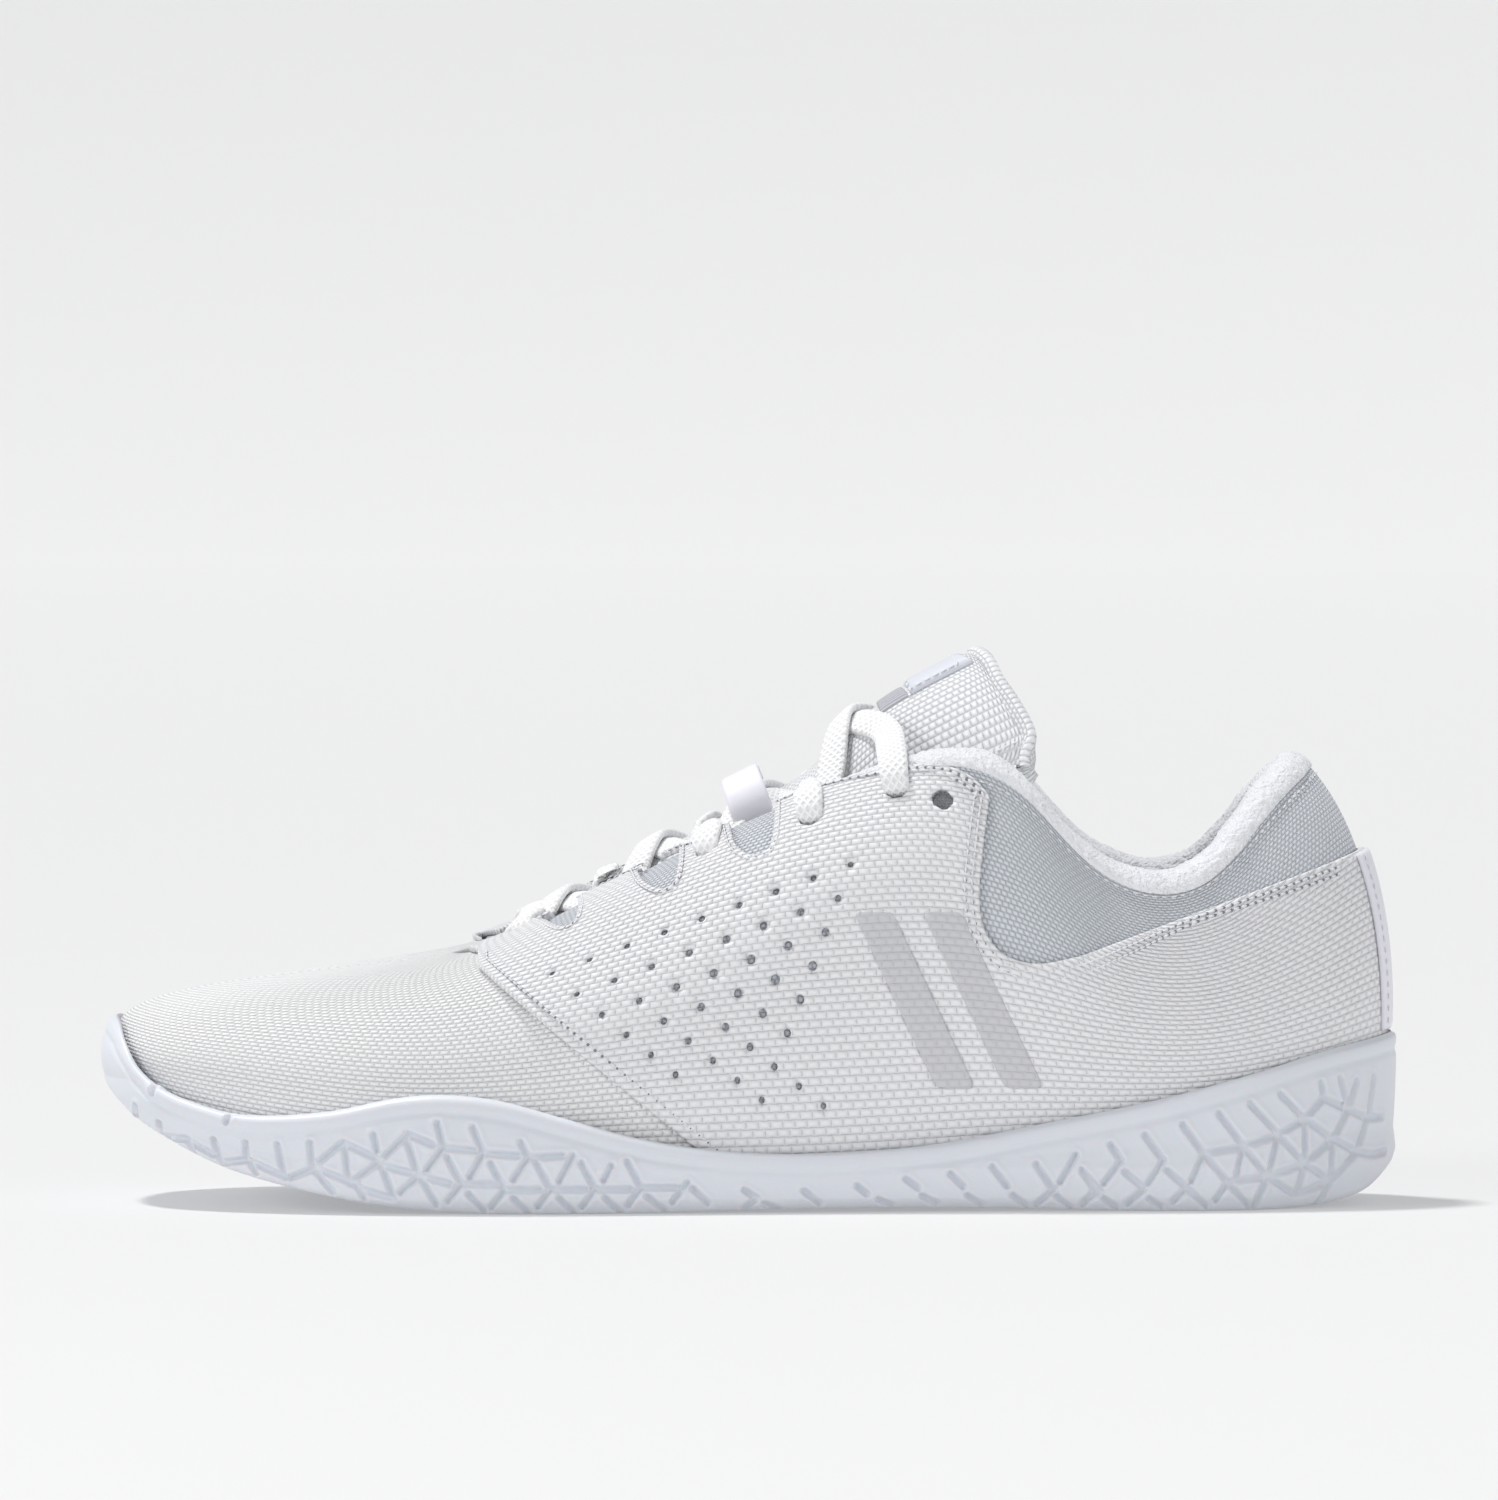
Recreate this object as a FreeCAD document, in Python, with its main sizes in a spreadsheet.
"""A low-cut cheer shoe for the left foot, modelled as the pieces that it is stitched and bonded from.

The frame is in millimetres: +X runs from the toe to the heel, -Y is the outer (lateral) side, +Z is up, and
the origin is at the bottom centre of the shoe's box.

The upper is described once, by 34 ribs that stand round the shoe from the edge of the sole to the collar and
throat. Each rib is a cubic Bezier curve, and a smooth closed spline runs through each row of handles. Every
layer of the upper is a sheet at its own depth below or above that surface, cut to shape by a flat pattern.
"""

import FreeCAD
import Part
import math
import os

V = FreeCAD.Vector

# ---------------------------------------------------------------- driving dimensions (mm and degrees)

DIMENSIONS = {
    "pattern_depth": 160.0,  # width of every flat pattern, wide enough to span the shoe
    "textile_thick": 1.0,
    "overlay_thick": 1.2,
    "layer_gap": 0.2,
    "lining_thick": 0.8,
    "stiffener_thick": 0.75,
    "counter_thick": 1.4,
    "collar_pad": 6.2,
    "collar_roll": 4.3,
    "binding_thick": 1.0,
    "floor_thick": 2.4,
    "sole_wall": 4.6,
    "strobel_thick": 1.2,
    "sockliner_thick": 4.0,
    "cloth_thick": 0.8,
    "flex_x": -50.0,
    "flex_z": 24.5,
    "flex_gap": 0.3,
    "eyelet_radius": 2.5,
    "lace_radius": 1.4,
    "aglet_radius": 1.9,
    "aglet_length": 22.0,
    "tongue_mesh_thick": 1.0,
    "tongue_foam_thick": 5.0,
    "tongue_gap": 0.35,
    "vent_large": 0.75,
    "vent_small": 0.45,
}

# Each rib, from the toe centre along the outer side to the heel centre: its foot on the sole, two handles,
# and its top on the throat or collar.
OUTER_RIBS = [
    ((-123, 0, 19), (-146, 0, 46.5), (-112, 0, 43), (-58, 0, 51.5)),
    ((-120.5, -10, 18.4), (-142.5, -13.5, 46), (-108, -12.5, 43.5), (-57.5, -4, 51.5)),
    ((-113.5, -21.5, 16.2), (-132, -29, 44), (-98, -24, 45), (-56, -8, 51.7)),
    ((-101, -31, 13.2), (-111, -39.5, 41.5), (-83, -31, 47.3), (-53, -11.5, 52.5)),
    ((-84, -38, 10.6), (-87, -45, 38), (-70, -34, 50), (-48.5, -14, 54.5)),
    ((-64, -41, 9), (-66, -47, 36), (-57, -35, 54), (-41, -15.5, 58)),
    ((-42, -41, 8.4), (-44, -46.5, 37), (-39, -35, 62), (-29, -16.5, 64.5)),
    ((-18, -38.5, 8.4), (-20, -43, 41), (-20, -34, 69), (-13, -17.5, 73)),
    ((7, -35.5, 8.6), (3, -39.5, 43), (2, -33, 76), (5, -19, 82)),
    ((30, -33, 9.6), (25, -36.5, 43), (24, -33, 80), (24, -22, 89.5)),
    ((50, -31.5, 11), (45, -35, 43), (42, -33, 78), (41, -26, 93)),
    ((66, -31, 12.3), (62, -35, 41), (57, -33, 70), (55, -28.5, 88)),
    ((80, -31, 13.4), (77, -35, 40), (70, -32, 60), (68, -28.5, 74)),
    ((93, -30, 14.3), (92, -34, 40), (84, -30.5, 56), (82, -27.5, 67)),
    ((105, -26.5, 15), (106, -30.5, 42), (98, -26.5, 60), (94, -24, 70.5)),
    ((116.5, -19.5, 15.4), (121, -23, 46), (112.5, -20, 70), (103.5, -17.5, 82)),
    ((124.5, -10.5, 15.6), (131, -12, 50), (122.5, -10.5, 78), (110, -9.5, 89)),
    ((127, 0, 15.6), (134, 0, 50), (126, 0, 80), (112.5, 0, 91.5)),
]
INNER_FEET = [5, 18.5, 30, 37.5, 41, 42, 39.5, 33, 28, 26, 26.5, 27.5, 28.5, 28, 25.5, 19.5, 10.5, 0]
TOE_SHIFT = (5, 5, 3, 0)  # the toe points a little to the inner side
HEEL = len(OUTER_RIBS) - 1  # rib number of the heel centre
RIBS = 2 * HEEL

# ---------------------------------------------------------------- the surface of the upper


def closed_loop(points):
    """Poles of the uniform cubic spline that passes through a closed row of points."""
    poles = list(points)
    count = len(points)
    for _ in range(60):
        poles = [(points[i] * 6 - poles[i - 1] - poles[(i + 1) % count]) * 0.25 for i in range(count)]
    return poles


def rib_rows():
    """The four closed rows of rib handles: the outer side as listed, then the inner side back to the toe."""
    rows = []
    for row in range(4):
        points = [V(*rib[row]) for rib in OUTER_RIBS]
        points[0].y = TOE_SHIFT[row]
        for k in range(HEEL - 1, 0, -1):
            outer = V(*OUTER_RIBS[k][row])
            foot, inner_foot = -OUTER_RIBS[k][0][1], INNER_FEET[k]
            width = {
                0: inner_foot,
                1: inner_foot + 0.9 * (-outer.y - foot),
                2: -outer.y * math.sqrt(inner_foot / foot),
                3: -outer.y,
            }[row]
            points.append(V(outer.x, width, outer.z))
        rows.append(closed_loop(points))
    return rows


HANDLES = rib_rows()


def on_loop(poles, s):
    """Point of a closed uniform cubic spline at rib number s."""
    k = math.floor(s)
    u = s - k
    weights = ((1 - u) ** 3, 3 * u**3 - 6 * u**2 + 4, -3 * u**3 + 3 * u**2 + 3 * u + 1, u**3)
    point = V(0, 0, 0)
    for step, weight in enumerate(weights):
        point += poles[(k - 1 + step) % RIBS] * (weight / 6)
    return point


def skin(s, t):
    """Point of the upper's reference surface: s counts ribs round the shoe, t runs from sole to collar."""
    a, b, c, d = (on_loop(row, s) for row in HANDLES)
    return a * (1 - t) ** 3 + b * (3 * t * (1 - t) ** 2) + c * (3 * t * t * (1 - t)) + d * t**3


def outward(s, t):
    """Unit normal of the reference surface, pointing out of the shoe."""
    step = 0.02
    along = skin(s + step, t) - skin(s - step, t)
    up = skin(s, t + step) - skin(s, t - step)
    normal = along.cross(up)
    return normal / normal.Length


def upper_point(s, t, depth):
    """Point at a signed distance from the reference surface: positive is outside."""
    return skin(s, t) + outward(s, t) * depth


def height_to_t(s, z):
    """Where rib s reaches height z, or 0 if its foot is already higher."""
    low, high = 0.0, 0.8
    if skin(s, low).z >= z:
        return low
    for _ in range(30):
        middle = (low + high) / 2
        if skin(s, middle).z < z:
            low = middle
        else:
            high = middle
    return low


def locate(x, z, inner):
    """Rib number and height of the point that is at (x, z) in the side view."""
    best = None
    s, t, reach = 9.0, 0.6, 8.0
    for _ in range(9):
        for i in range(-4, 5):
            for j in range(-4, 5):
                trial_s, trial_t = s + i * reach / 4, t + j * reach / 70
                if 0 < trial_s < HEEL and 0 < trial_t < 1:
                    p = skin(trial_s, trial_t)
                    miss = math.hypot(p.x - x, p.z - z)
                    if best is None or miss < best[0]:
                        best = (miss, trial_s, trial_t)
        _, s, t = best
        reach /= 2
    return (RIBS - s if inner else s), t


# ---------------------------------------------------------------- document and small builders

doc = FreeCAD.newDocument("cheer_shoe")
sheet = doc.addObject("Spreadsheet::Sheet", "Dimensions")
for row_number, (alias, value) in enumerate(DIMENSIONS.items(), start=1):
    sheet.set(f"A{row_number}", alias)
    sheet.set(f"B{row_number}", str(value))
    sheet.setAlias(f"B{row_number}", alias)
doc.recompute()

nodes = []


def size(alias):
    return float(sheet.get(alias))


def node(obj, name):
    """Marks a document object as a sub-part that is written to its own file."""
    obj.Label = name
    nodes.append(obj)
    return obj


def sheet_solid(point, s_range, t_range, inner_depth, outer_depth, counts):
    """A closed sheet between two smooth surfaces. point(s, t, depth) places it, and both depths are functions."""
    s_count, t_count = counts
    faces = []
    for depth in (outer_depth, inner_depth):
        grid = []
        for i in range(s_count):
            s = s_range[0] + (s_range[1] - s_range[0]) * i / (s_count - 1)
            line = []
            for j in range(t_count):
                t = t_range[0] + (t_range[1] - t_range[0]) * j / (t_count - 1)
                line.append(point(s, t, depth(s, t)))
            grid.append(line)
        surface = Part.BSplineSurface()
        surface.interpolate(grid)
        faces.append(surface)
    outer, inner = faces
    shapes = [outer.toShape(), inner.toShape()]
    u_ends = (outer.bounds()[0], outer.bounds()[1], inner.bounds()[0], inner.bounds()[1])
    v_ends = (outer.bounds()[2], outer.bounds()[3], inner.bounds()[2], inner.bounds()[3])
    for end in (0, 1):
        a, b = outer.uIso(u_ends[end]).toShape(), inner.uIso(u_ends[2 + end]).toShape()
        shapes.append(Part.makeRuledSurface(a, b))
        a, b = outer.vIso(v_ends[end]).toShape(), inner.vIso(v_ends[2 + end]).toShape()
        shapes.append(Part.makeRuledSurface(a, b))
    shell = Part.makeShell([face for shape in shapes for face in shape.Faces])
    shell.sewShape()
    solid = Part.makeSolid(shell)
    if solid.Volume < 0:
        solid.reverse()
    return solid


def even(value):
    """A depth that is the same all over a sheet."""
    return lambda s, t: value


def feature(name, shape):
    obj = doc.addObject("Part::Feature", name)
    obj.Shape = shape
    return obj


def layer(name, s_range, t_range, inner_depth, outer_depth, counts=(30, 10)):
    """One layer of the upper as a document object, before it is cut to its pattern."""
    if not callable(inner_depth):
        inner_depth = even(inner_depth)
    if not callable(outer_depth):
        outer_depth = even(outer_depth)
    return feature(name, sheet_solid(upper_point, s_range, t_range, inner_depth, outer_depth, counts))


def smooth_line(points, x_from, x_to):
    """The stretch between two x values of the smooth curve through points of a side-view line."""
    curve = Part.BSplineCurve()
    curve.interpolate([V(x, z, 0) for x, z in points])

    def parameter_at(x):
        low, high = curve.FirstParameter, curve.LastParameter
        for _ in range(40):
            middle = (low + high) / 2
            if curve.value(middle).x < x:
                low = middle
            else:
                high = middle
        return low

    curve.segment(parameter_at(x_from), parameter_at(x_to))
    return curve


def pattern(name, stretches):
    """A flat pattern in the side view, padded across the shoe. Stretches are lists of (x, z) points or curves."""
    body = doc.addObject("PartDesign::Body", name)
    sketch = body.newObject("Sketcher::SketchObject", name + "_sketch")
    plane = [item for item in body.Origin.OriginFeatures if item.Role == "XZ_Plane"][0]
    sketch.AttachmentSupport = (plane, [""])
    sketch.MapMode = "FlatFace"
    for stretch in stretches:
        if isinstance(stretch, Part.BSplineCurve):
            curve = stretch
        elif len(stretch) == 2:
            curve = Part.LineSegment(*[V(x, z, 0) for x, z in stretch])
        else:
            curve = Part.BSplineCurve()
            curve.interpolate([V(x, z, 0) for x, z in stretch])
        sketch.addGeometry(curve, False)
    pad = body.newObject("PartDesign::Pad", name + "_pad")
    pad.Profile = sketch
    pad.SideType = "Symmetric"
    pad.setExpression("Length", "Dimensions.pattern_depth")
    doc.recompute()
    return body


def ring_of(corners):
    """The straight stretches of a closed ring of corners."""
    return [[a, b] for a, b in zip(corners, corners[1:] + corners[:1])]


def common(name, base, tool):
    obj = doc.addObject("Part::Common", name)
    obj.Base = base
    obj.Tool = tool
    return obj


def cut(name, base, tool):
    obj = doc.addObject("Part::Cut", name)
    obj.Base = base
    obj.Tool = tool
    return obj


# ---------------------------------------------------------------- side-view lines of the sole

SOLE_TOP = [
    (-136, 39), (-130.2, 38), (-128.4, 34), (-125.6, 28.8), (-120.8, 24.8), (-114, 22), (-103, 19.6),
    (-86, 20.5), (-71.5, 23.4),
    (-62, 24.1), (-51, 23), (-38.7, 19.7), (-22.3, 15.2), (-6.9, 12.7), (8.5, 11.8), (22.9, 12.2),
    (39.3, 13.8), (59.8, 17.7), (82.4, 22.4), (103, 27.7), (117.3, 31.8), (130.7, 34.5), (140, 36),
]
SOLE_BOTTOM = [
    (-137, 29), (-132, 23.5), (-126.3, 18.5), (-119, 14.3), (-106.4, 8.8), (-93.3, 5.2), (-84, 3.3),
    (-74.5, 1.7), (-62, 0.4), (-45, -0.25), (-20, 0.1), (15, 0.9), (50, 0.8), (75, 0.1), (95, -0.3),
    (110, 0.05), (120, 1.2), (127, 3.6), (132, 8.5), (137, 17),
]
FOOTBED = [
    (-137, 24.5), (-122.5, 20), (-113.5, 16.9), (-101, 13.4), (-84, 10.5), (-64, 8.8), (-42, 8.2), (-18, 8.2),
    (7, 8.4), (30, 9.4), (50, 10.8), (66, 12.1), (80, 13.2), (93, 14.1), (105, 14.8), (116.5, 15.2), (137, 15.6),
]


def raised(line, height):
    return [(x, z + height) for x, z in line]


def band(name, lower, upper, x_from, x_to):
    """A pattern between two side-view lines, from x_from to x_to."""
    low, high = smooth_line(lower, x_from, x_to), smooth_line(upper, x_from, x_to)
    front = [(low.StartPoint.x, low.StartPoint.y), (high.StartPoint.x, high.StartPoint.y)]
    back = [(low.EndPoint.x, low.EndPoint.y), (high.EndPoint.x, high.EndPoint.y)]
    return pattern(name, [low, high, back, front])


# ---------------------------------------------------------------- plan outlines of the sole


def toe_share(s):
    """1 at the toe centre, falling to 0 along both sides."""
    from_toe = min(s % RIBS, RIBS - s % RIBS)
    return math.exp(-((from_toe / 2.6) ** 2))


def saddle_share(s):
    """1 where the overlay lies on the upper, 0 round the toe, where the bare textile is."""
    from_toe = min(s % RIBS, RIBS - s % RIBS)
    step = min(1.0, max(0.0, (from_toe - 5.5) / 1.5))
    return step * step * (3 - 2 * step)


def plan_outline(z, reach):
    """Outline at height z, a distance reach(s) outside the upper: an outer and an inner curve from toe to heel."""
    points = []
    for s in range(RIBS):
        t = height_to_t(s, z)
        along = skin(s + 0.02, t) - skin(s - 0.02, t)
        aside = V(along.y, -along.x, 0)
        aside = aside / aside.Length
        p = skin(s, t) + aside * reach(s)
        points.append(V(p.x, p.y, z))
    curve = Part.BSplineCurve()
    curve.interpolate(Points=points, PeriodicFlag=True, Parameters=[float(k) for k in range(RIBS + 1)])
    sides = []
    for start, end in ((0, HEEL), (HEEL, RIBS)):
        side = curve.copy()
        side.segment(start, end)
        sides.append(side.toShape())
    return Part.Wire(sides)


def plan_loft(name, levels):
    """A loft through plan outlines, given as (height, reach) pairs."""
    loft = doc.addObject("Part::Loft", name)
    sections = []
    for number, (z, reach) in enumerate(levels):
        sections.append(feature(f"{name}_outline_{number}", plan_outline(z, reach)))
    loft.Sections = sections
    loft.Solid = True
    loft.Ruled = False
    return loft


def wall(side, toe):
    """Thickness of the sole's side wall, with its own value at the toe and a little more over the overlay."""
    return lambda s: side + 0.65 * saddle_share(s) + (toe - side) * toe_share(s)


def clear_of_upper(gap):
    return lambda s: gap + (size("overlay_thick") + size("layer_gap")) * saddle_share(s)


SOLE_SIDE = size("sole_wall")
outer_form = plan_loft("sole_outer_form", [
    (-1.0, wall(0.36 * SOLE_SIDE, 2.5)),
    (3.0, wall(0.9 * SOLE_SIDE, 7.5)),
    (9.0, wall(1.15 * SOLE_SIDE, 9.4)),
    (19.0, wall(0.88 * SOLE_SIDE, 8.6)),
    (26.0, wall(0.72 * SOLE_SIDE, 4.4)),
    (33.0, wall(0.6 * SOLE_SIDE, 2.5)),
    (40.0, wall(0.5 * SOLE_SIDE, 2.3)),
])
CAVITY_LEVELS = (-2.0, 8.0, 19.0, 26.0, 33.0, 41.0)
cavity_form = plan_loft("sole_cavity_form", [(z, clear_of_upper(0.5)) for z in CAVITY_LEVELS])
filling_form = plan_loft("sole_filling_form", [(z, lambda s: -1.5) for z in (-2.0, 8.0, 19.0, 26.0)])


def inside_lining(s):
    """Distance from the upper to the footbed's edge, clear of the linings."""
    return -4.4 - 0.8 * toe_share(s)


footbed_form = plan_loft("footbed_form", [(z, inside_lining) for z in (-2.0, 9.0, 16.0, 22.0, 28.0)])

FLOOR = size("floor_thick")
STROBEL = size("strobel_thick")
LINER_TOP = [(x, z + 0.25 + size("sockliner_thick") * (1.3 if x > 0 else 1.0)) for x, z in FOOTBED]
END = 135.0  # beyond both ends of the shoe
MIDSOLE_TOE, MIDSOLE_HEEL = -106.0, 124.0
HALVES = {
    "fore": (-END, size("flex_x") - size("flex_gap") / 2),
    "rear": (size("flex_x") + size("flex_gap") / 2, END),
}


def both_halves(name, form, lower, upper, toe=-END, heel=END):
    """The fore and rear solids of a sole layer: a plan form cut to a side-view band, in two at the flex line."""
    halves = {}
    for end, (x_from, x_to) in HALVES.items():
        side_view = band(f"{name}_{end}_side_view", lower, upper, max(x_from, toe), min(x_to, heel))
        halves[end] = common(f"{name}_{end}_solid", form, side_view)
    return halves


blocks = both_halves("sole_block", outer_form, SOLE_BOTTOM, SOLE_TOP)
hollows = both_halves("sole_hollow", cavity_form, raised(SOLE_BOTTOM, FLOOR), raised(SOLE_TOP, 12))
ground = pattern("ground", ring_of([(-END, -6), (END, -6), (END, 0), (-END, 0)]))
for end in HALVES:
    cup = cut(f"cup_{end}", blocks[end], hollows[end])
    node(cut(f"cup_{end}_on_ground", cup, ground), f"outsole_{end}")
BOARD_TOP = -0.25  # height of the board's upper face above the footbed line
BOARD_FOOT = BOARD_TOP - STROBEL
MIDSOLE = (raised(SOLE_BOTTOM, FLOOR + 0.1), raised(FOOTBED, BOARD_FOOT - 0.1))
LAYERS = {
    "midsole": (filling_form, *MIDSOLE, MIDSOLE_TOE, MIDSOLE_HEEL),
    "strobel_board": (filling_form, raised(FOOTBED, BOARD_FOOT), raised(FOOTBED, BOARD_TOP)),
    "sockliner": (footbed_form, raised(FOOTBED, 0.2), LINER_TOP),
    "sockliner_cloth": (footbed_form, raised(LINER_TOP, 0.1), raised(LINER_TOP, 0.1 + size("cloth_thick"))),
}
for layer_name, layer_form in LAYERS.items():
    for end, solid in both_halves(layer_name, *layer_form).items():
        node(solid, f"{layer_name}_{end}")

# ---------------------------------------------------------------- patterns of the upper

SEAM_TOP, SEAM_FOOT = (-54.8, 49.2), (-7.0, 10.0)  # the overlay's slanting front edge


def seam_line(shift):
    """The slanting seam moved along the shoe, carried on past both of its ends."""
    (x0, z0), (x1, z1) = SEAM_TOP, SEAM_FOOT
    slope = (x1 - x0) / (z0 - z1)
    return [(x0 + shift - slope * 25, z0 + 25), (x1 + shift + slope * 12, z1 - 12)]


def rear_of_seam(name, shift):
    top, foot = seam_line(shift)
    corners = [top, foot, (150, -2), (150, 120), (top[0], 120)]
    return pattern(name, ring_of(corners))


def front_of_seam(name, shift):
    top, foot = seam_line(shift)
    return pattern(name, ring_of([top, foot, (-150, -2), (-150, top[1])]))


UNDERLAP = 5.0
vamp_pattern = front_of_seam("vamp_pattern", UNDERLAP)
quarter_pattern = rear_of_seam("quarter_pattern", UNDERLAP + 0.4)

NOTCHES = [
    [(-42.9, 62.5), (-41.3, 58.6), (-37.6, 57.0), (-34.9, 58.6), (-33.6, 67.4)],
    [(-23.2, 71.2), (-21.4, 66.4), (-17.7, 64.8), (-14.9, 66.4), (-13.4, 75.0)],
    [(-3.8, 78.6), (-2.4, 73.6), (1.1, 71.8), (4.4, 73.6), (5.8, 82.4)],
]
COLLAR_FRONT = [(5.8, 82.4), (17.5, 86.3), (26.8, 88.7), (34, 90.1), (40.5, 90), (45.4, 87.9), (48.9, 84.3)]
WINDOW = [(48.9, 84.3), (47.5, 73.4), (46.8, 63.5), (48, 56.8), (52, 52.2), (58.5, 50.4), (67, 51.8)]


def saddle_outline():
    """The overlay: slanting front edge, three scalloped notches, collar front, ankle window, heel."""
    stretches = [[SEAM_FOOT, SEAM_TOP], [SEAM_TOP, (-54.8, 60.5)], [(-54.8, 60.5), NOTCHES[0][0]]]
    for number, notch in enumerate(NOTCHES):
        stretches.append(notch)
        if number + 1 < len(NOTCHES):
            stretches.append([notch[-1], NOTCHES[number + 1][0]])
    heel_and_foot = [WINDOW[-1], (140, 77.6), (140, 2), (-7, 2), SEAM_FOOT]
    return stretches + [COLLAR_FRONT, WINDOW] + ring_of(heel_and_foot)[:-1]


saddle_pattern = pattern("saddle_pattern", saddle_outline())

# ---------------------------------------------------------------- eyelet and vent holes

EYELETS = [(-47.0, 56.2), (-27.6, 65.2), (-8.6, 72.6), (12.6, 79.4), (30.2, 85.2), (39.4, 83.4)]
LACED = 5  # the top pair of eyelets is left free
VENT_START, VENT_ALONG, VENT_DOWN = (-39.8, 48.2), (7.56, 2.75), (4.96, -4.0)
VENT_ROWS = [(0, 8), (0, 7), (0, 6), (0, 5), (0, 4), (0, 3), (1, 2), (1, 2), (2, 2)]
VENT_CENTRE = (4.2, 2.6)  # place of the largest vent, counted along and down the pattern


def drill(name, place, radius_alias, reach_out, reach_in, radius_share=1.0):
    """A cylinder through the upper, square to its surface."""
    s, t = place
    drill_bit = doc.addObject("Part::Cylinder", name)
    drill_bit.setExpression("Radius", f"Dimensions.{radius_alias} * {radius_share:.3f}")
    drill_bit.Height = reach_out + reach_in
    axis = outward(s, t)
    turn = FreeCAD.Rotation(V(0, 0, 1), axis)
    drill_bit.Placement = FreeCAD.Placement(upper_point(s, t, -reach_in), turn)
    return drill_bit


def compound(name, parts):
    obj = doc.addObject("Part::Compound", name)
    obj.Links = parts
    return obj


def side_drills(side, inner):
    """Eyelet drills and vent drills of one side."""
    eyelets = []
    for number, (x, z) in enumerate(EYELETS, start=1):
        eyelets.append(drill(f"eyelet_drill_{side}_{number}", locate(x, z, inner), "eyelet_radius", 6, 7))
    vents = []
    for down, (first, last) in enumerate(VENT_ROWS):
        for along in range(first, last + 1):
            x = VENT_START[0] + along * VENT_ALONG[0] + down * VENT_DOWN[0]
            z = VENT_START[1] + along * VENT_ALONG[1] + down * VENT_DOWN[1]
            away = math.hypot(along - VENT_CENTRE[0], down - VENT_CENTRE[1])
            grown = max(0.0, 1 - away / 4.5)
            radius = size("vent_small") + (size("vent_large") - size("vent_small")) * grown
            share = radius / size("vent_large")
            name = f"vent_drill_{side}_{down}_{along}"
            vents.append(drill(name, locate(x, z, inner), "vent_large", 2.2, 0.05, share))
    return compound(f"eyelet_drills_{side}", eyelets), compound(f"vent_drills_{side}", vents)


# ---------------------------------------------------------------- layers of the upper

GAP = size("layer_gap")
TEXTILE = size("textile_thick")
OVERLAY = size("overlay_thick")
LINING = size("lining_thick")
STIFFENER = size("stiffener_thick")
BEHIND_TEXTILE = -TEXTILE - GAP
VAMP_LINING_TOP = BEHIND_TEXTILE - STIFFENER - GAP
QUARTER_LINING_TOP = BEHIND_TEXTILE - size("counter_thick") - GAP

VAMP_REACH = ((-8.2, 8.2), (0, 0.985))
vamp_sheet = layer("vamp_sheet", *VAMP_REACH, -TEXTILE, 0, (66, 20))
node(common("vamp_cut", vamp_sheet, vamp_pattern), "vamp")
vamp_lining_sheet = layer("vamp_lining_sheet", *VAMP_REACH, VAMP_LINING_TOP - LINING, VAMP_LINING_TOP, (66, 20))
node(common("vamp_lining_cut", vamp_lining_sheet, vamp_pattern), "vamp_lining")
STIFFENER_FOOT = BEHIND_TEXTILE - STIFFENER
node(layer("toe_puff_sheet", (-3.3, 3.3), (0.03, 0.5), STIFFENER_FOOT, BEHIND_TEXTILE, (27, 12)), "toe_puff")

MESH_TOP = 0.955
quarter_sheet = layer("quarter_sheet", (4.5, RIBS - 4.5), (0, MESH_TOP), -TEXTILE, 0, (126, 16))
quarter_cut = common("quarter_cut", quarter_sheet, quarter_pattern)
drills = {side: side_drills(side, side == "inner") for side in ("outer", "inner")}
all_eyelets = compound("all_eyelet_drills", [drills["outer"][0], drills["inner"][0]])
node(cut("quarter_mesh_cut", quarter_cut, all_eyelets), "quarter_mesh")

SEAM_AT_HEEL = 0.03
SIDES = {"outer": (4.3, HEEL - SEAM_AT_HEEL), "inner": (RIBS - 4.3, HEEL + SEAM_AT_HEEL)}
for side, s_range in SIDES.items():
    saddle_sheet = layer(f"saddle_sheet_{side}", s_range, (0.01, 0.975), GAP, GAP + OVERLAY, (66, 16))
    saddle_cut = common(f"saddle_cut_{side}", saddle_sheet, saddle_pattern)
    holes = compound(f"saddle_drills_{side}", list(drills[side]))
    node(cut(f"saddle_drilled_{side}", saddle_cut, holes), f"saddle_{side}")

    stay_range = (4.9, 10.4) if side == "outer" else (RIBS - 10.4, RIBS - 4.9)
    stay_sheet = layer(f"stay_sheet_{side}", stay_range, (0.77, 0.95), STIFFENER_FOOT, BEHIND_TEXTILE)
    stay_cut = common(f"stay_cut_{side}", stay_sheet, quarter_pattern)
    node(cut(f"stay_drilled_{side}", stay_cut, drills[side][0]), f"eyelet_stay_{side}")

    lining_range = (4.6, 10.6) if side == "outer" else (RIBS - 10.6, RIBS - 4.6)
    top = QUARTER_LINING_TOP
    lining_sheet = layer(f"quarter_lining_sheet_{side}", lining_range, (0, 0.95), top - LINING, top)
    lining_cut = common(f"quarter_lining_cut_{side}", lining_sheet, quarter_pattern)
    node(cut(f"quarter_lining_drilled_{side}", lining_cut, drills[side][0]), f"quarter_lining_{side}")

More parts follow.
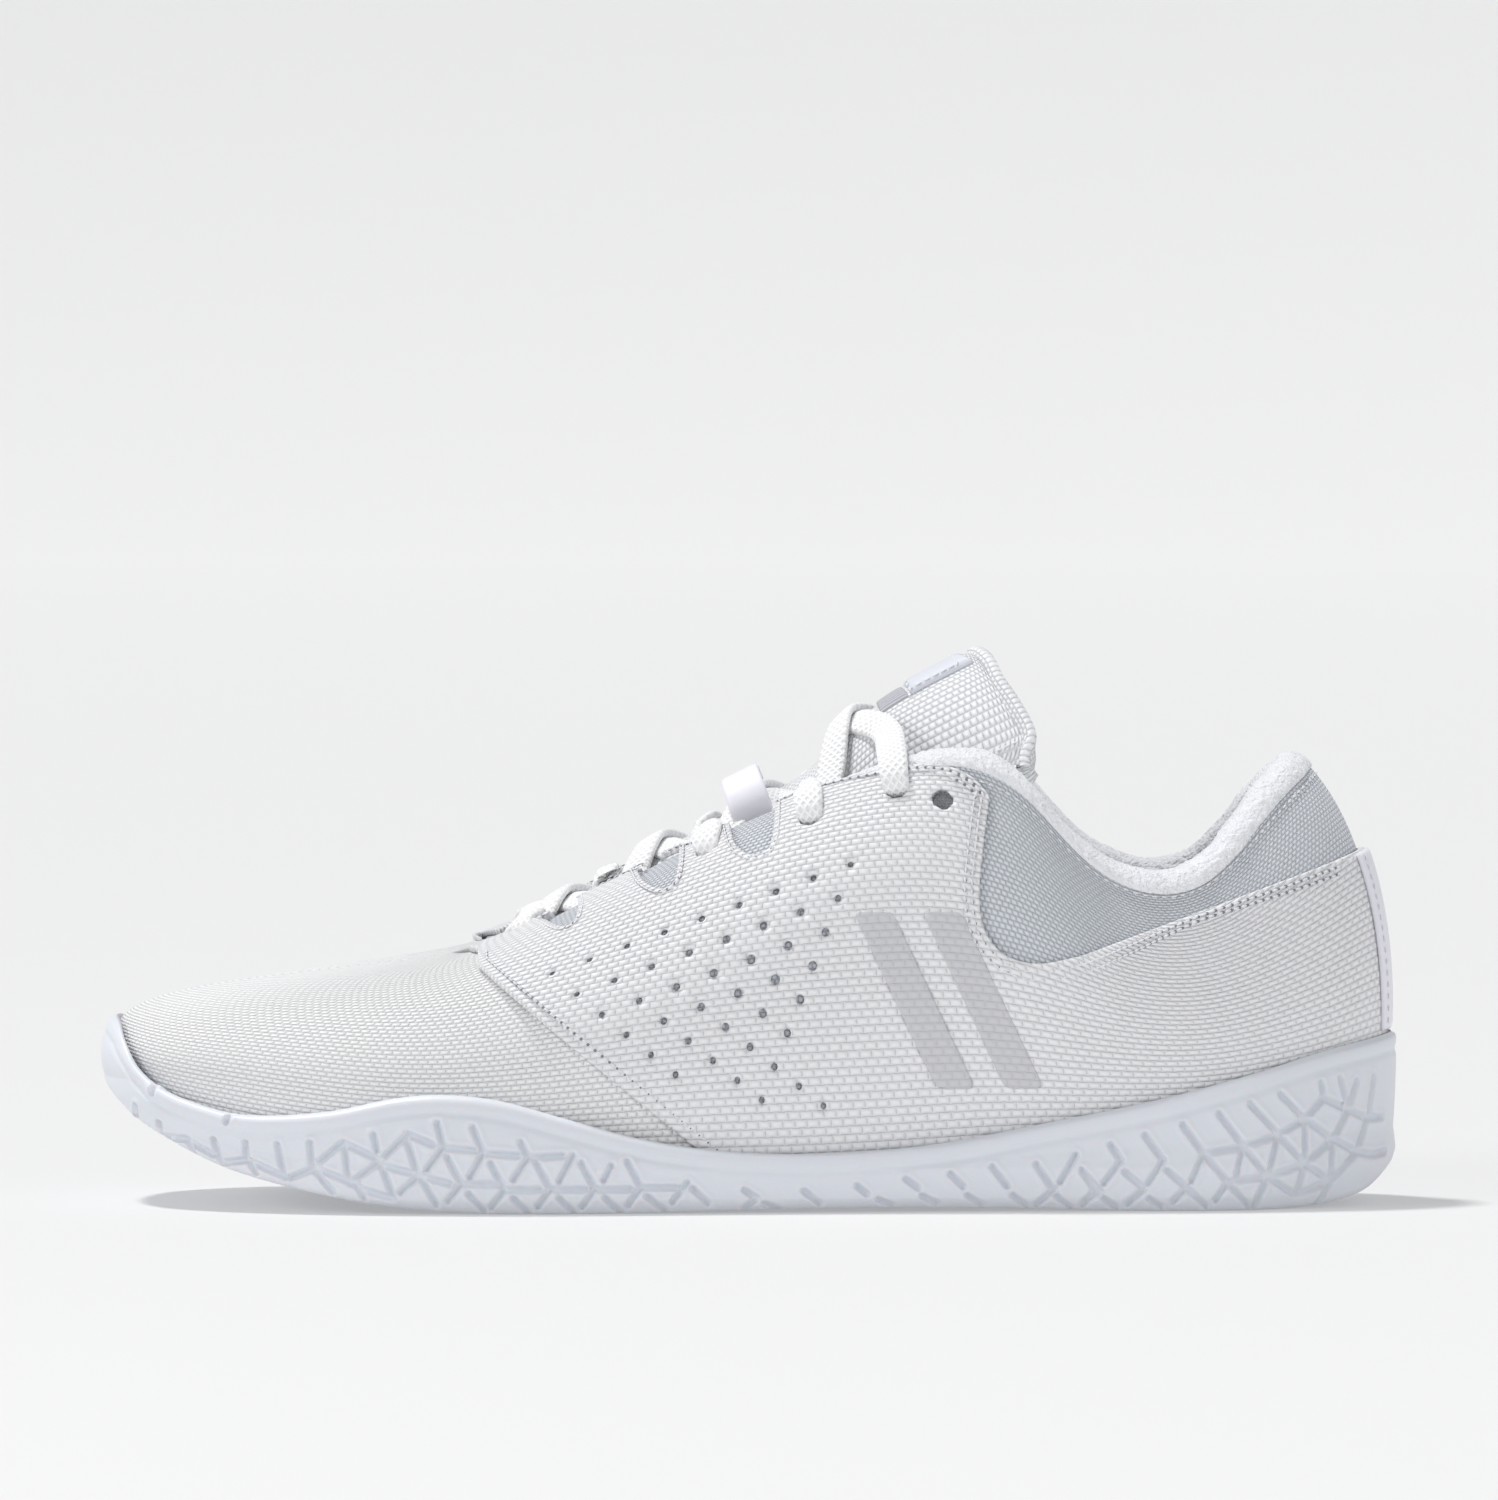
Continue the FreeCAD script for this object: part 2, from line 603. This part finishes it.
STRIP_FOOT, STRIP_THICK = GAP * 2 + OVERLAY, 0.9
COUNTER_FOOT = BEHIND_TEXTILE - size("counter_thick")
node(layer("heel_strip_sheet", (HEEL - 0.8, HEEL + 0.8), (0.2, 0.63), STRIP_FOOT, STRIP_FOOT + STRIP_THICK,
           (17, 12)), "heel_strip")
node(layer("heel_counter_sheet", (12.6, RIBS - 12.6), (0.03, 0.46), COUNTER_FOOT, BEHIND_TEXTILE, (30, 10)),
     "heel_counter")
node(layer("heel_lining_sheet", (10.7, RIBS - 10.7), (0, 0.5), QUARTER_LINING_TOP - LINING, QUARTER_LINING_TOP,
           (40, 10)), "heel_lining")

COLLAR_RANGE = (10.8, RIBS - 10.8)
PAD_FOOT, PAD_TOP = 0.52, 0.93


def pad_depth(s, t):
    """Thickness of the collar foam: thin at its lower edge and at its two front ends, full at the top."""
    rise = min(1.0, max(0.0, (t - PAD_FOOT) / 0.36))
    from_end = min(s - COLLAR_RANGE[0], COLLAR_RANGE[1] - s)
    ends = min(1.0, 0.35 + 0.65 * from_end / 2.2)
    return 0.8 + (size("collar_pad") - 0.8) * rise * rise * (3 - 2 * rise) * ends


def pad_foot(s, t):
    return BEHIND_TEXTILE - pad_depth(s, t)


PAD_RANGE = (PAD_FOOT, PAD_TOP)
node(layer("collar_foam_sheet", COLLAR_RANGE, PAD_RANGE, pad_foot, BEHIND_TEXTILE, (48, 12)), "collar_foam")
node(layer("collar_lining_sheet", COLLAR_RANGE, PAD_RANGE, lambda s, t: pad_foot(s, t) - GAP - LINING,
           lambda s, t: pad_foot(s, t) - GAP, (48, 12)), "collar_lining")


def roll_point(s, turn, depth):
    """The padded edge over the collar: turn goes from its outer side over the top to its inner side."""
    normal = outward(s, 0.96)
    up = skin(s, 0.99) - skin(s, 0.93)
    up = up / up.Length
    ends = min(1.0, 0.6 + 0.4 * min(s - ROLL_RANGE[0], ROLL_RANGE[1] - s) / 1.5)
    radius = size("collar_roll") * ends
    centre = skin(s, 0.965) - normal * (radius - 0.4)
    return centre + (normal * math.cos(turn) + up * math.sin(turn)) * (radius + depth)


ROLL_RANGE = (9.5, RIBS - 9.5)
ROLL_TURN = (math.radians(4), math.radians(176))
node(feature("collar_binding_sheet", sheet_solid(roll_point, ROLL_RANGE, ROLL_TURN, even(-size("binding_thick")),
             even(0.0), (60, 9))), "collar_binding")

# ---------------------------------------------------------------- the tongue

# Ridge of the tongue from its seam at the throat to its tip: x, z, half width, drop of the wings, backward shift
TONGUE_ROWS = [
    (-57.0, 48.4, 9.0, 2.0, 0.0),
    (-38.0, 59.6, 18.0, 12.0, 0.5),
    (-12.0, 74.8, 21.5, 19.0, 1.0),
    (9.5, 86.0, 20.5, 22.0, 3.0),
    (26.5, 101.5, 17.0, 23.0, 9.0),
    (45.0, 112.0, 21.0, 22.0, 14.0),
]


def tongue_row(u):
    """Smooth value of every tongue measure, from 0 at the seam to 1 at the tip."""
    place = u * (len(TONGUE_ROWS) - 1)
    k = min(int(place), len(TONGUE_ROWS) - 2)
    w = place - k
    rows = [TONGUE_ROWS[min(max(k + step, 0), len(TONGUE_ROWS) - 1)] for step in (-1, 0, 1, 2)]
    measures = []
    for a, b, c, d in zip(*rows):
        measures.append(b + 0.5 * w * (c - a + w * (2 * a - 5 * b + 4 * c - d + w * (3 * (b - c) + d - a))))
    return measures


def tongue_skin(u, v):
    x, z, half, drop, shift = tongue_row(u)
    return V(x + shift * abs(v) ** 2, half * v, z - drop * abs(v) ** 2.2)


def tongue_point(u, v, depth):
    """Point above (positive) or below the tongue's outer surface."""
    step = 0.01
    low, high = max(u - step, 0), min(u + step, 1)
    along = tongue_skin(high, v) - tongue_skin(low, v)
    across = tongue_skin(u, v + step) - tongue_skin(u, v - step)
    normal = along.cross(across)
    normal = normal / normal.Length
    return tongue_skin(u, v) + normal * depth


def foam_depth(u, v):
    """Foam that is thin at the seam, at the wings' edges and at the tip, and full between."""
    full = size("tongue_foam_thick")
    lengthwise = 0.3 + 0.7 * min(1.0, u / 0.6)
    tip = math.sqrt(max(0.06, 1 - max(0.0, (u - 0.88) / 0.12) ** 2))
    wings = math.sqrt(max(0.05, 1 - abs(v) ** 4))
    return max(0.8, full * lengthwise * wings * tip)


MESH = size("tongue_mesh_thick")
FOAM_TOP = -MESH - size("tongue_gap")  # depth of the foam's upper face below the tongue's outer surface
LINING_GAP = size("tongue_gap")


def foam_foot(u, v):
    return FOAM_TOP - foam_depth(u, v)


def tongue_layer(name, lengthwise, span, low, high, counts):
    """A layer of the tongue between two depths, as a node."""
    node(feature(name + "_sheet", sheet_solid(tongue_point, lengthwise, span, low, high, counts)), name)


WHOLE, WIDE = (0, 1), (-1, 1)
PATCH = (-0.3, 0.3)
tongue_layer("tongue_mesh", WHOLE, WIDE, even(-MESH), even(0.0), (22, 21))
tongue_layer("tongue_foam", WHOLE, WIDE, foam_foot, even(FOAM_TOP), (22, 21))
tongue_layer("tongue_lining", WHOLE, WIDE, lambda u, v: foam_foot(u, v) - LINING_GAP - LINING,
             lambda u, v: foam_foot(u, v) - LINING_GAP, (22, 21))
tongue_layer("tongue_badge", (0.855, 0.965), PATCH, even(0.15), even(1.6), (8, 8))
tongue_layer("tongue_tab", (0.8, 0.85), PATCH, even(0.15), even(0.9), (8, 8))
KEEPER_SPAN, KEEPER_LIFT = 0.46, 8.2


def keeper_depth(u, v):
    """Height of the lace keeper's arch above the tongue: its two ends are sewn down."""
    return 0.2 + KEEPER_LIFT * (1 - min(1.0, abs(v) / KEEPER_SPAN) ** 4)


tongue_layer("lace_keeper", (0.49, 0.55), (-KEEPER_SPAN, KEEPER_SPAN), keeper_depth,
             lambda u, v: keeper_depth(u, v) + 0.8, (6, 25))

# ---------------------------------------------------------------- laces

LACE = size("lace_radius")
ABOVE, BELOW = LACE + 2.4, -(LACE + 4.6)
ON_TONGUE, HUMP = LACE + 0.9, 2 * LACE + 0.6

# Where each end of the lace goes after its fifth eyelet: down the wall, then round the edge of the footbed
TAIL_ROUTES = {
    "outer": [
        (32.8, -23.6, 75.5), (34.4, -25.5, 68.1), (37.0, -26.6, 58.5), (39.2, -27.0, 48.0), (42.0, -26.8, 37.0),
        (45.8, -25.8, 27.5), (54.0, -25.2, 21.4), (66.0, -25.5, 21.1), (79.0, -25.4, 22.1), (91.5, -24.3, 23.1),
        (102.5, -21.2, 23.7), (112.4, -15.2, 24.3), (119.2, -7.9, 24.5), (121.5, 0.4, 24.3), (119.3, 8.2, 24.5),
        (112.5, 15.0, 24.3), (102.6, 20.0, 23.6), (91.5, 22.1, 23.1), (79.5, 22.6, 22.2), (66.5, 21.8, 21.3),
        (54.0, 21.1, 20.7), (42.0, 20.2, 19.9), (31.5, 20.0, 19.0),
    ],
    "inner": [
        (33.0, 21.0, 76.0), (34.7, 22.0, 68.1), (37.2, 22.4, 58.5), (39.6, 22.3, 48.0), (42.4, 21.9, 37.5),
        (46.8, 21.4, 29.0), (54.8, 21.6, 25.1), (66.5, 22.4, 25.3), (79.5, 23.2, 25.9), (91.8, 22.7, 26.9),
        (103.0, 20.4, 27.5), (113.0, 15.1, 27.9), (119.8, 8.0, 28.1), (122.0, 0.3, 27.9), (119.7, -8.0, 28.1),
        (113.0, -15.4, 27.9), (102.3, -21.6, 27.4), (91.0, -24.7, 26.8), (80.0, -25.5, 26.2),
    ],
}


def rounded_path(points):
    """Straight runs joined by tangent arcs, each as large as its two runs allow, and the smallest arc's radius."""
    edges, radii = [], []
    start = points[0]
    for before, corner, after in zip(points, points[1:], points[2:]):
        back, ahead = before - corner, after - corner
        turn = math.pi - back.getAngle(ahead)
        reach = 0.45 * min(back.Length, ahead.Length)
        enter, leave = corner + back * (reach / back.Length), corner + ahead * (reach / ahead.Length)
        radius = reach / math.tan(turn / 2)
        inward = back / back.Length + ahead / ahead.Length
        inward = inward / inward.Length
        middle = corner + inward * (radius / math.cos(turn / 2) - radius)
        edges.append(Part.LineSegment(start, enter).toShape())
        edges.append(Part.Arc(enter, middle, leave).toShape())
        radii.append(radius)
        start = leave
    edges.append(Part.LineSegment(start, points[-1]).toShape())
    return Part.Wire(edges), radii


def tube(name, points, radius):
    """A round cord along a route. Its volume is compared with its section times its length."""
    path, radii = rounded_path(points)
    circle = Part.Wire([Part.Circle(points[0], points[1] - points[0], radius).toShape()])
    solid = path.makePipeShell([circle], True, False)
    share = solid.Volume / (math.pi * radius**2 * path.Length)
    print(f"{name}: length {path.Length:.1f}, volume {share:.4f} of section times length")
    print("  radii " + " ".join(f"{value:.1f}" for value in radii))
    return feature(name + "_sweep", solid)


def ridge_place(x):
    """Lengthwise place on the tongue where its ridge reaches x."""
    low, high = 0.0, 1.0
    for _ in range(30):
        middle = (low + high) / 2
        if tongue_row(middle)[0] < x:
            low = middle
        else:
            high = middle
    return low


def eyelet_run(number, inner):
    """Points that carry the lace over the edge of the throat, down through one eyelet and back under the edge."""
    s, t = locate(*EYELETS[number], inner)
    return [
        upper_point(s, min(t + 0.14, 1.0), ABOVE),
        upper_point(s, t, ABOVE - 0.4),
        upper_point(s, t, BELOW),
        upper_point(s, 0.975, BELOW),
    ]


def crossing_run(number, inner, over):
    """Points over the tongue from one eyelet's level to the next eyelet on the other side."""
    first, last = EYELETS[number][0], EYELETS[number + 1][0]
    side = 1 if inner else -1
    rise = ON_TONGUE + HUMP * over
    points = []
    stations = ((0.2, 0.5, ON_TONGUE), (0.44, 0.14, rise), (0.56, -0.14, rise), (0.8, -0.5, ON_TONGUE))
    for share, across, lift in stations:
        points.append(tongue_point(ridge_place(first + share * (last - first)), side * across, lift))
    return points


def lace_route(inner, over_first):
    """Half of the lace: from the middle of the first bar, zigzag through the eyelets to the fifth."""
    bar = ridge_place(EYELETS[0][0] - 1)
    points = [tongue_point(bar, 0.0, ON_TONGUE)]
    for number in range(LACED - 1):
        points += eyelet_run(number, inner)
        points += crossing_run(number, inner, (number % 2 == 0) == over_first)
        inner = not inner
    points += eyelet_run(LACED - 1, inner)[:3]
    points.append(V(*TAIL_ROUTES["inner" if inner else "outer"][0]))
    return points


outer_start, inner_start = lace_route(False, True), lace_route(True, False)
node(tube("lace", outer_start[:0:-1] + inner_start, LACE), "lace")
for side, route in TAIL_ROUTES.items():
    route = [V(*point) for point in route]
    node(tube(f"lace_tail_{side}", route, LACE), f"lace_tail_{side}")
    aglet = doc.addObject("Part::Cylinder", f"aglet_{side}_solid")
    aglet.setExpression("Radius", "Dimensions.aglet_radius")
    aglet.setExpression("Height", "Dimensions.aglet_length")
    aglet.Placement = FreeCAD.Placement(route[-1], FreeCAD.Rotation(V(0, 0, 1), route[-1] - route[-2]))
    node(aglet, f"aglet_{side}")

# ---------------------------------------------------------------- checks and export

doc.recompute()
problems = [obj.Name for obj in doc.Objects if {"Invalid", "Error"} & set(obj.State)]
for piece in nodes:
    if piece.Shape.isNull() or not piece.Shape.isValid() or not piece.Shape.Solids:
        problems.append(piece.Label)
if problems:
    raise RuntimeError("failed objects: " + ", ".join(problems))

os.makedirs("parts", exist_ok=True)
for piece in nodes:
    piece.Shape.exportStep(f"parts/{piece.Label}.step")
    box = piece.Shape.BoundBox
    spans = f"x {box.XMin:.1f}..{box.XMax:.1f}, y {box.YMin:.1f}..{box.YMax:.1f}, z {box.ZMin:.1f}..{box.ZMax:.1f}"
    print(f"{piece.Label}: {len(piece.Shape.Solids)} solid, {piece.Shape.Volume:.0f} mm3, {spans}")
print(f"{len(nodes)} nodes")
